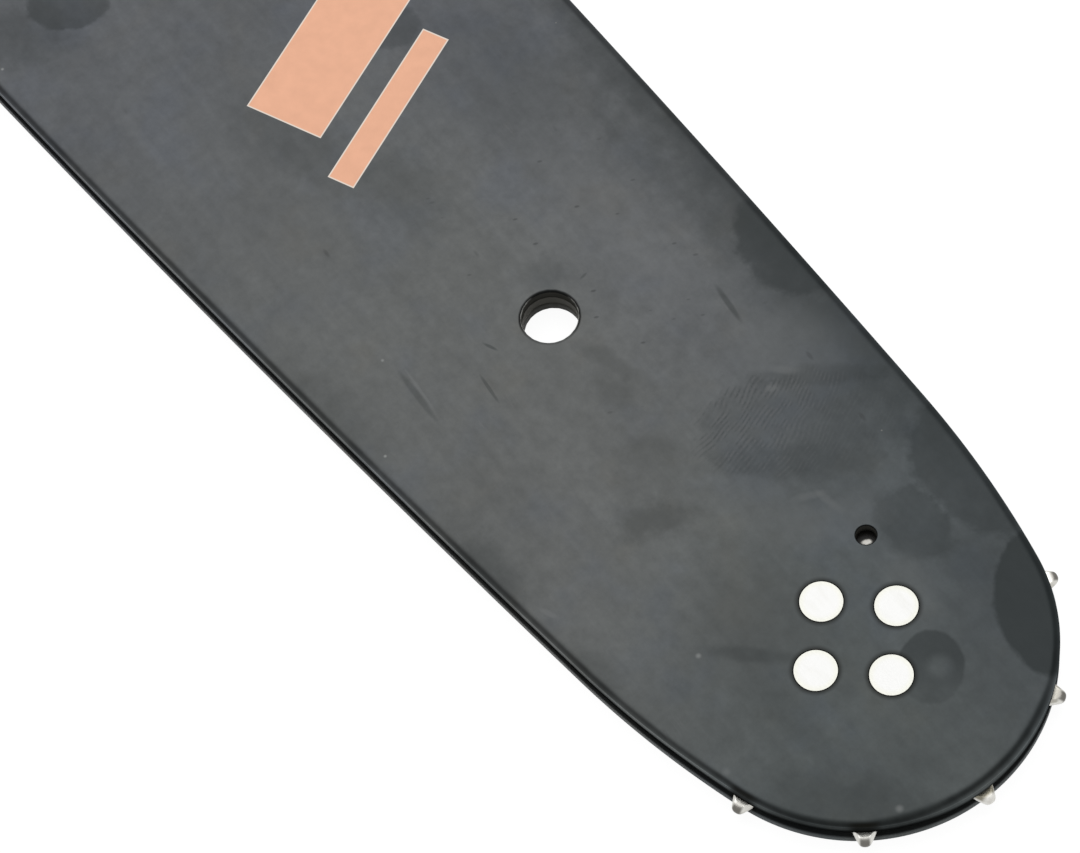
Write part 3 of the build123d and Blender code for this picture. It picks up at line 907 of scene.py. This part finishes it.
def addRims(tree, color, placeMm, flat, upper):
    # eased edges, rails, lips and hole walls, by the marks that the mesh carries; their ramps paint shade,
    # highlight and reflection into the colour
    look = plateLook
    rim = newNode(tree, "ShaderNodeAttribute", attribute_name="rim").outputs["Fac"]
    bore = newNode(tree, "ShaderNodeAttribute", attribute_name="bore").outputs["Fac"]
    halfRim = calc(tree, "MULTIPLY", rim, 0.5)
    drawn = vecCalc(tree, "MULTIPLY", placeMm, look["wornScale"])
    worn = vary(tree, noise(tree, drawn, 1.0, detail=3.0, rough=0.6), *look["wornRange"])
    if upper:
        fromNose = calc(tree, "SUBTRACT", splitVector(tree, flat)["X"], noseMm.x)
        level = mixColor(tree, remap(tree, fromNose, *look["noseStart"]),
                         rampOf(tree, halfRim, look["edgeRamp"]), rampOf(tree, halfRim, look["noseRamp"]))
        dull = markMask(tree, flat, 0.0, *look["dullPatch"])
        level = mixColor(tree, dull, level, rampOf(tree, halfRim, look["dullRamp"]))
        soft = remap(tree, splitVector(tree, flat)["Y"], *look["softEdge"], 0.0, look["softStrength"])
        soft = calc(tree, "MULTIPLY", soft, remap(tree, rim, *look["softEnd"]))
        level = mixColor(tree, soft, level, (1.0, 1.0, 1.0))
    else:
        level = rampOf(tree, halfRim, look["lowerRamp"])
    rolled = mixColor(tree, 1.0, color, level, "MULTIPLY")
    rolled = mixColor(tree, remap(tree, rim, *look["wornReach"]), rolled,
                      mixColor(tree, 1.0, rolled, worn, "MULTIPLY"))

    fromAxis = vecCalc(tree, "SUBTRACT", flat, (noseMm.x, noseMm.y, 0.0))
    sides = splitVector(tree, fromAxis)
    # darker on the rail over each tooth
    overTeeth = remap(tree, useGroup(tree, toothWave, FromAxis=fromAxis)["Wave"], *railOverTeeth["spread"])
    limits = (remap(tree, rim, *railOverTeeth["climb"], 0.0, railOverTeeth["strength"]),
              remap(tree, sides["Y"], *railOverTeeth["sideReach"]),
              remap(tree, sides["X"], *railOverTeeth["foreReach"]))
    for limit in limits:
        overTeeth = calc(tree, "MULTIPLY", overTeeth, limit)
    rolled = mixColor(tree, overTeeth, rolled, look["nearBlackTone"])

    # painted shade on each hole's lip, then the hole's wall
    lip = mixColor(tree, 1.0, color, rampOf(tree, halfRim, look["lipRamp"]), "MULTIPLY")
    wallColor = mixColor(tree, 1.0, look["boreTone"], worn, "MULTIPLY")
    wallColor = mixColor(tree, 1.0, wallColor, rampOf(tree, halfRim, look["boreRamp"]), "MULTIPLY")
    lip = mixColor(tree, remap(tree, rim, *look["wallStart"]), lip, wallColor)
    lip = useGroup(tree, lipGlint, Lip=lip, Face=color, Rim=rim, Place=placeMm, Flat=flat)["Color"]
    return mixColor(tree, bore, rolled, lip), rim


def makePlateFinish(name, seed, upper):
    material, tree, shader, placeMm = newMaterial(name)
    look = plateLook
    flat = flatten(tree, placeMm)
    shifted = vecCalc(tree, "ADD", flat, [seed * step for step in look["seedShift"]])
    wobble = calc(tree, "SUBTRACT", noise(tree, shifted, look["wobbleScale"], detail=4.0, rough=0.6), 0.5)
    bare = useGroup(tree, plateTone, Flat=flat, Shifted=shifted)["Tone"]
    if upper:
        color = addFaceMarks(tree, bare, flat, wobble)
    else:
        color = addHandMarks(tree, bare, flat, wobble, seed)
    # what the marks took away from the tone is how oily the place is
    bareGreen = newNode(tree, "ShaderNodeSeparateColor", {0: bare}).outputs[1]
    markedGreen = newNode(tree, "ShaderNodeSeparateColor", {0: color}).outputs[1]
    oily = calc(tree, "SUBTRACT", 1.0, calc(tree, "DIVIDE", markedGreen, bareGreen), clamp=True)
    color = addWear(tree, color, flat, shifted, placeMm)
    ink = 0.0
    if upper:
        color, ink = addPrint(tree, color, flat)
    color, rim = addRims(tree, color, placeMm, flat, upper)
    tree.links.new(color, shader.inputs["Base Color"])

    # gloss: oil and ink shine more than the coating, which varies in patches
    shiftedMm = vecCalc(tree, "ADD", placeMm, (seed * look["seedShift"][0], 0.0, 0.0))
    grain = useGroup(tree, rolledGrain, Place=shiftedMm, **look["grain"])
    gloss = vary(tree, grain["Cloud"], *look["roughness"])
    gloss = calc(tree, "MULTIPLY_ADD", oily, look["oilGloss"], gloss)
    gloss = calc(tree, "MULTIPLY_ADD", ink, look["inkGloss"], gloss)
    tree.links.new(gloss, shader.inputs["Roughness"])
    shader.inputs["Specular IOR Level"].default_value = look["upperSheen"] if upper else look["lowerSheen"]
    if upper:
        # the satin coat is worn off from the eased edge down
        coat = remap(tree, rim, *look["coatEnd"], look["coat"], 0.0)
        tree.links.new(coat, shader.inputs["Coat Weight"])
        shader.inputs["Coat Roughness"].default_value = look["coatRoughness"]
    bump = newNode(tree, "ShaderNodeBump", {"Height": grain["Grain"], **look["bump"]})
    tree.links.new(bump.outputs[0], shader.inputs["Normal"])
    return material


upperFinish = makePlateFinish("plateUpperFinish", seed=0.0, upper=True)
lowerFinish = makePlateFinish("plateLowerFinish", seed=3.0, upper=False)
buildPlate("plateUpper", "side_plate_upper", upperFaceMm, coreHighMm, upperFinish)
buildPlate("plateLower", "side_plate_lower", lowerFaceMm, coreLowMm, lowerFinish)
print("side plates built and finished")


# bare steels: the core, the sprocket, the bearing and the rivets

steelLooks = {
    "coreSteel": {"tone": (0.178, 0.174, 0.155), "dark": (0.102, 0.097, 0.083), "metal": 0.0, "rough": 0.6,
                  "sheen": 0.08, "grain": 0.3, "stretch": 5.0, "scratch": 0.15},
    "sprocketSteel": {"tone": (0.70, 0.69, 0.65), "dark": (0.34, 0.32, 0.28), "metal": 1.0, "rough": 0.30,
                      "sheen": 0.5, "grain": 0.12, "stretch": 2.0, "scratch": 0.3},
    "bearingSteel": {"tone": (0.60, 0.59, 0.55), "dark": (0.30, 0.28, 0.24), "metal": 1.0, "rough": 0.28,
                     "sheen": 0.12, "grain": 0.1, "stretch": 1.0, "scratch": 0.2},
    "rivetSteel": {"tone": (0.475, 0.475, 0.468), "dark": (0.44, 0.438, 0.42), "metal": 1.0, "rough": 0.42,
                   "sheen": 0.5, "grain": 0.08, "stretch": 6.0, "scratch": 0.2},
}
steelWear = {
    "stain": (0.48, 0.72, 0.0, 0.6),
    "grainRange": (0.93, 1.05),
    "roughSpread": (-0.05, 0.07),
    "scratches": {"Turn": 0.4, "Run": 3.5, "Spacing": 0.25, "Share": 0.5},
    "bump": {"Strength": 0.1, "Distance": 0.00002},
}


def makeSteel(name):
    look, wear = steelLooks[name], steelWear
    material, tree, shader, placeMm = newMaterial(name)
    grain = useGroup(tree, rolledGrain, Place=placeMm, Size=look["grain"], Stretch=look["stretch"])
    stain = remap(tree, grain["Cloud"], *wear["stain"])
    color = mixColor(tree, stain, look["tone"], look["dark"])
    color = mixColor(tree, 1.0, color, vary(tree, grain["Grain"], *wear["grainRange"]), "MULTIPLY")
    lines = useGroup(tree, fineScratches, Place=placeMm, **wear["scratches"])["Mask"]
    color = mixColor(tree, calc(tree, "MULTIPLY", lines, look["scratch"]), color, look["dark"])
    shader.inputs["Metallic"].default_value = look["metal"]
    shader.inputs["Specular IOR Level"].default_value = look["sheen"]
    gloss = vary(tree, grain["Grain"], *[look["rough"] + change for change in wear["roughSpread"]])
    bump = newNode(tree, "ShaderNodeBump", {"Height": grain["Grain"], **wear["bump"]})
    tree.links.new(gloss, shader.inputs["Roughness"])
    tree.links.new(bump.outputs[0], shader.inputs["Normal"])
    return material, tree, shader, placeMm, color


def finishCore():
    material, tree, shader, placeMm, color = makeSteel("coreSteel")
    tree.links.new(color, shader.inputs["Base Color"])
    dress(material, "core_plate")


greaseAndGlint = {
    "tone": (0.010, 0.009, 0.008),
    # painted glint: a patch of bare steel on the roller under the grease hole
    "glint": (436.42, 8.98),
    "glintRadius": (0.60, 0.34),
    "turn": 60.0,
    "glintSoft": 0.4,
    "glintRagged": 0.9,
    "glintStrength": 0.62,
    "wobbleScale": 1.4,
    "rubScale": 0.5,
    "rubShift": (0.0, 0.0, 9.0),
    "rubSpan": (0.5, 0.66),
    "rubFacing": (0.7, 0.3),
}


def finishBearing():
    # old grease, rubbed through on upright sides, and a painted glint where the grease hole shows a roller: a
    # patch of bare bright steel put where the highlight falls
    film = greaseAndGlint
    material, tree, shader, placeMm, color = makeSteel("bearingSteel")
    flat = flatten(tree, placeMm)
    wobble = calc(tree, "SUBTRACT", noise(tree, placeMm, film["wobbleScale"], detail=4.0), 0.5)
    glint = markMask(tree, flat, wobble, film["glint"], film["glintRadius"], film["turn"], film["glintSoft"],
                     film["glintRagged"], film["glintStrength"])
    apart = vecCalc(tree, "ADD", placeMm, film["rubShift"])
    rubbed = remap(tree, noise(tree, apart, film["rubScale"], detail=4.0), *film["rubSpan"])
    rubbed = calc(tree, "MULTIPLY", rubbed, remap(tree, flatnessOf(tree), *film["rubFacing"]))
    bare = calc(tree, "MAXIMUM", glint, rubbed)
    color = mixColor(tree, bare, film["tone"], color)
    tree.links.new(color, shader.inputs["Base Color"])
    tree.links.new(bare, shader.inputs["Metallic"])
    dress(material, "bearing_inner_race", *[name for name in nodes if name.startswith("roller_")])


rivetEdge = {"reach": (1.6, 2.46), "warm": (0.455, 0.455, 0.40), "strength": 0.7}


def finishRivets():
    # ground faces, a little yellowed towards their edges
    material, tree, shader, placeMm, color = makeSteel("rivetSteel")
    fromMiddle = useGroup(tree, rivetDistance, Place=placeMm)["Distance"]
    edge = remap(tree, fromMiddle, *rivetEdge["reach"], 0.0, rivetEdge["strength"])
    color = mixColor(tree, edge, color, rivetEdge["warm"])
    tree.links.new(color, shader.inputs["Base Color"])
    dress(material, "nose_rivets")


finishCore()
finishBearing()
finishRivets()
print("core, bearing and rivets finished")


# star sprocket: teeth rounded off on every edge, worn bright on the flanks, with a painted dark reflection at the
# tips

starShape = {
    "tipRadius": 23.8,
    "tipWidth": 1.05,
    "flank": 26.0,
    "gullet": 3.6,
    "wall": 2.2,
    "land": 0.12,  # half height of the straight band round the rim
    "flankBevel": 0.40,
    "tipBevel": 0.85,
    "tipRound": (0.50, 0.46),  # corner length at the rim and on the face
    "tipShare": 0.9,  # of half the tip, the most that a corner may take
    "bevelSteps": 5,
    "gulletSteps": 10,
    "cornerSteps": 5,
    "boreSteps": 96,
}


def starOutline(inset, tipInset, corner):
    shape = starShape
    halfPitch, flank = math.pi / sprocketTeeth["count"], math.radians(shape["flank"])
    slope = halfPitch + flank
    tip, width = shape["tipRadius"], shape["tipWidth"] / 2.0
    tipX = tip * math.cos(halfPitch) + width * math.sin(halfPitch)
    tipY = tip * math.sin(halfPitch) - width * math.cos(halfPitch)
    gulletX = tipX + (shape["gullet"] - tipY * math.cos(slope)) / math.sin(slope)
    back = Matrix.Rotation(-halfPitch, 2)
    bottom = roundArc((gulletX, 0.0), shape["gullet"] + inset, math.pi, math.pi / 2 + slope,
                      shape["gulletSteps"])
    side = [tuple(back @ Vector(p)) for p in bottom]
    # rounded corner between the flank and the tip
    edge = Vector((tip - tipInset, -(width + tipInset * math.tan(flank) - inset / math.cos(flank))))
    start = edge + corner * Vector((-math.cos(flank), -math.sin(flank)))
    stop = edge + Vector((0.0, min(corner, shape["tipShare"] * -edge.y)))
    for k in range(shape["cornerSteps"] + 1):
        t = k / shape["cornerSteps"]
        side.append(tuple((1 - t) ** 2 * start + 2 * t * (1 - t) * edge + t * t * stop))
    tooth = side + [(x, -y) for x, y in reversed(side[1:])]
    points = []
    for number in range(sprocketTeeth["count"]):
        turn = Matrix.Rotation(math.radians(sprocketTeeth["phase"]) + 2.0 * halfPitch * number, 2)
        points += [tuple(noseMm.xy + turn @ Vector(p)) for p in tooth]
    return points, gulletX - shape["gullet"]


starDirtAndTipReflection = {
    # tone, reach and strength of the painted dark reflection on the tooth tips
    "tone": (0.085, 0.078, 0.068),
    "reach": (23.0, 23.9),
    "faceLead": 0.5,  # mm further in on surfaces that face up or down
    "halfWidth": (0.955, 0.988),  # cosine across a tooth, so that the flanks stay bright
    "strength": 0.88,
    "dirt": (0.20, 0.185, 0.14),
    "dirtScale": 0.085,
    "dirtSpan": (0.45, 0.62),
    "dirtStrength": 0.8,
    "greasy": [((467.6, -1.1), 0.95), ((464.4, 12.6), 0.60)],  # teeth with grease on their bevels
    "greasyRadius": (3.5, 3.5),
    "greasySoft": 0.5,
    "greasyReach": (23.35, 22.85),
    "greasyFacing": (0.15, 0.6),
    "greasyTip": (0.6, 0.9, 1.0, 0.0),  # a very greasy tooth has no painted dark reflection at its tip
}


def finishSprocket():
    dirtAndTips = starDirtAndTipReflection
    material, tree, shader, placeMm, color = makeSteel("sprocketSteel")
    flat = flatten(tree, placeMm)
    fromAxis = vecCalc(tree, "SUBTRACT", flat, (noseMm.x, noseMm.y, 0.0))
    away, flatness = vecCalc(tree, "LENGTH", fromAxis), flatnessOf(tree)
    # old dirt here and there, and a film of grease on two teeth
    greasy = 0.0
    for centre, strength in dirtAndTips["greasy"]:
        patch = markMask(tree, flat, 0.0, centre, dirtAndTips["greasyRadius"], 0.0, dirtAndTips["greasySoft"], 0.0,
                         strength)
        greasy = calc(tree, "MAXIMUM", greasy, patch)
    film = calc(tree, "MULTIPLY", remap(tree, flatness, *dirtAndTips["greasyFacing"]),
                remap(tree, away, *dirtAndTips["greasyReach"]))
    dirt = remap(tree, noise(tree, placeMm, dirtAndTips["dirtScale"], detail=2.0), *dirtAndTips["dirtSpan"], 0.0,
                 dirtAndTips["dirtStrength"])
    dirt = calc(tree, "MAXIMUM", dirt, calc(tree, "MULTIPLY", greasy, film))
    color = mixColor(tree, dirt, color, dirtAndTips["dirt"])
    # painted dark reflection on the tips, between bright flanks
    reach = calc(tree, "MULTIPLY_ADD", flatness, dirtAndTips["faceLead"], away)
    tip = remap(tree, reach, *dirtAndTips["reach"], 0.0, dirtAndTips["strength"])
    wave = useGroup(tree, toothWave, FromAxis=fromAxis)["Wave"]
    tip = calc(tree, "MULTIPLY", tip, remap(tree, wave, *dirtAndTips["halfWidth"]))
    tip = calc(tree, "MULTIPLY", tip, remap(tree, greasy, *dirtAndTips["greasyTip"]))
    color = mixColor(tree, tip, color, dirtAndTips["tone"])
    tree.links.new(color, shader.inputs["Base Color"])
    return material


def buildSprocket():
    shape = starShape
    mesh = bmesh.new()
    outer, root = starOutline(0.0, 0.0, shape["tipRound"][0])
    inner, root = starOutline(shape["flankBevel"], shape["tipBevel"], shape["tipRound"][1])
    middle = (sprocketLowMm + sprocketHighMm) / 2.0
    halfHeight = (sprocketHighMm - sprocketLowMm) / 2.0
    rings = []
    for side in (1.0, -1.0):
        steps = range(shape["bevelSteps"] + 1)
        for k in (reversed(steps) if side > 0 else steps):
            t = 0.5 * math.pi * k / shape["bevelSteps"]
            mix = 1.0 - math.cos(t)
            loop = [tuple(Vector(a).lerp(Vector(b), mix)) for a, b in zip(outer, inner)]
            height = shape["land"] + (halfHeight - shape["land"]) * math.sin(t)
            rings.append(addRing(mesh, loop, middle + side * height))
    bridgeRings(mesh, rings)
    boreLoop = roundArc(noseMm, root - shape["wall"], 0.0, 2 * math.pi, shape["boreSteps"])[:-1]
    bore = [addRing(mesh, boreLoop, height) for height in (sprocketHighMm, sprocketLowMm)]
    bridgeRings(mesh, bore)
    fillFlat(mesh, rings[0], bore[0])
    fillFlat(mesh, rings[-1], bore[1])
    finishPiece("starWheel", mesh, "sprocket", "nose_sprocket", finishSprocket())


buildSprocket()
print("sprocket built and finished")


# floor, light and camera

studio = {
    "floorSize": 12.0,
    "floorGap": 0.00005,
    "floorTone": (0.16, 0.16, 0.16),
    "floorRoughness": 0.9,
    "floorGlow": 0.93,
    "worldLevel": 0.45,
    "boxPlace": (-0.05, 0.26, 1.0),
    "boxAim": (0.38, 0.0, 0.0),
    "boxSize": (1.4, 1.0),
    "boxPower": 7.0,
}


def seenRays(tree):
    path = newNode(tree, "ShaderNodeLightPath").outputs
    shine = calc(tree, "MAXIMUM", path["Is Glossy Ray"], path["Is Transmission Ray"])
    return calc(tree, "MAXIMUM", path["Is Camera Ray"], shine)


def makeFloor():
    half = studio["floorSize"] / 2.0
    corners = [(-half, -half, 0.0), (half, -half, 0.0), (half, half, 0.0), (-half, half, 0.0)]
    mesh = bpy.data.meshes.new("floor")
    mesh.from_pydata(corners, [], [(0, 1, 2, 3)])
    floor = bpy.data.objects.new("floor", mesh)
    floor.location.z = cadLow.z - studio["floorGap"]
    bpy.context.scene.collection.objects.link(floor)
    material = bpy.data.materials.new("floorPaper")
    material.use_nodes = True
    tree = material.node_tree
    shader = tree.nodes["Principled BSDF"]
    shader.inputs["Base Color"].default_value = (*studio["floorTone"], 1.0)
    shader.inputs["Roughness"].default_value = studio["floorRoughness"]
    shader.inputs["Specular IOR Level"].default_value = 0.0
    shader.inputs["Emission Color"].default_value = (1.0, 1.0, 1.0, 1.0)
    glow = calc(tree, "MULTIPLY", seenRays(tree), studio["floorGlow"])
    tree.links.new(glow, shader.inputs["Emission Strength"])
    mesh.materials.append(material)


def makeWorld():
    world = bpy.data.worlds.new("studio")
    bpy.context.scene.world = world
    world.use_nodes = True
    tree = world.node_tree
    level = remap(tree, seenRays(tree), 0.0, 1.0, studio["worldLevel"], 1.0, "LINEAR")
    tree.links.new(level, tree.nodes["Background"].inputs["Strength"])
    tree.nodes["Background"].inputs["Color"].default_value = (1.0, 1.0, 1.0, 1.0)


def makeSoftbox():
    light = bpy.data.lights.new("softbox", "AREA")
    light.shape = "RECTANGLE"
    light.size, light.size_y = studio["boxSize"]
    light.energy = studio["boxPower"]
    lamp = bpy.data.objects.new("softbox", light)
    lamp.location = studio["boxPlace"]
    aim = Vector(studio["boxAim"]) - lamp.location
    lamp.rotation_euler = aim.to_track_quat("-Z", "Y").to_euler()
    bpy.context.scene.collection.objects.link(lamp)


camera = {
    "place": (0.5862, -0.1090, 0.4113),
    "right": (0.62584, 0.77406, -0.09572),
    "up": (-0.66729, 0.59492, 0.4481),
    "lens": 133.33,
    "sensor": 36.0,
    "nearest": 0.01,
}


def makeCamera():
    data = bpy.data.cameras.new("camera")
    data.lens = camera["lens"]
    data.sensor_fit = "HORIZONTAL"
    data.sensor_width = camera["sensor"]
    data.clip_start = camera["nearest"]
    eye = bpy.data.objects.new("camera", data)
    right, up = Vector(camera["right"]).normalized(), Vector(camera["up"]).normalized()
    turn = Matrix((right, up, right.cross(up))).transposed().to_4x4()
    eye.matrix_world = Matrix.Translation(camera["place"]) @ turn
    bpy.context.scene.collection.objects.link(eye)
    bpy.context.scene.camera = eye


makeFloor()
makeWorld()
makeSoftbox()
makeCamera()
bpy.context.scene.view_settings.view_transform = "Standard"
print("studio set")
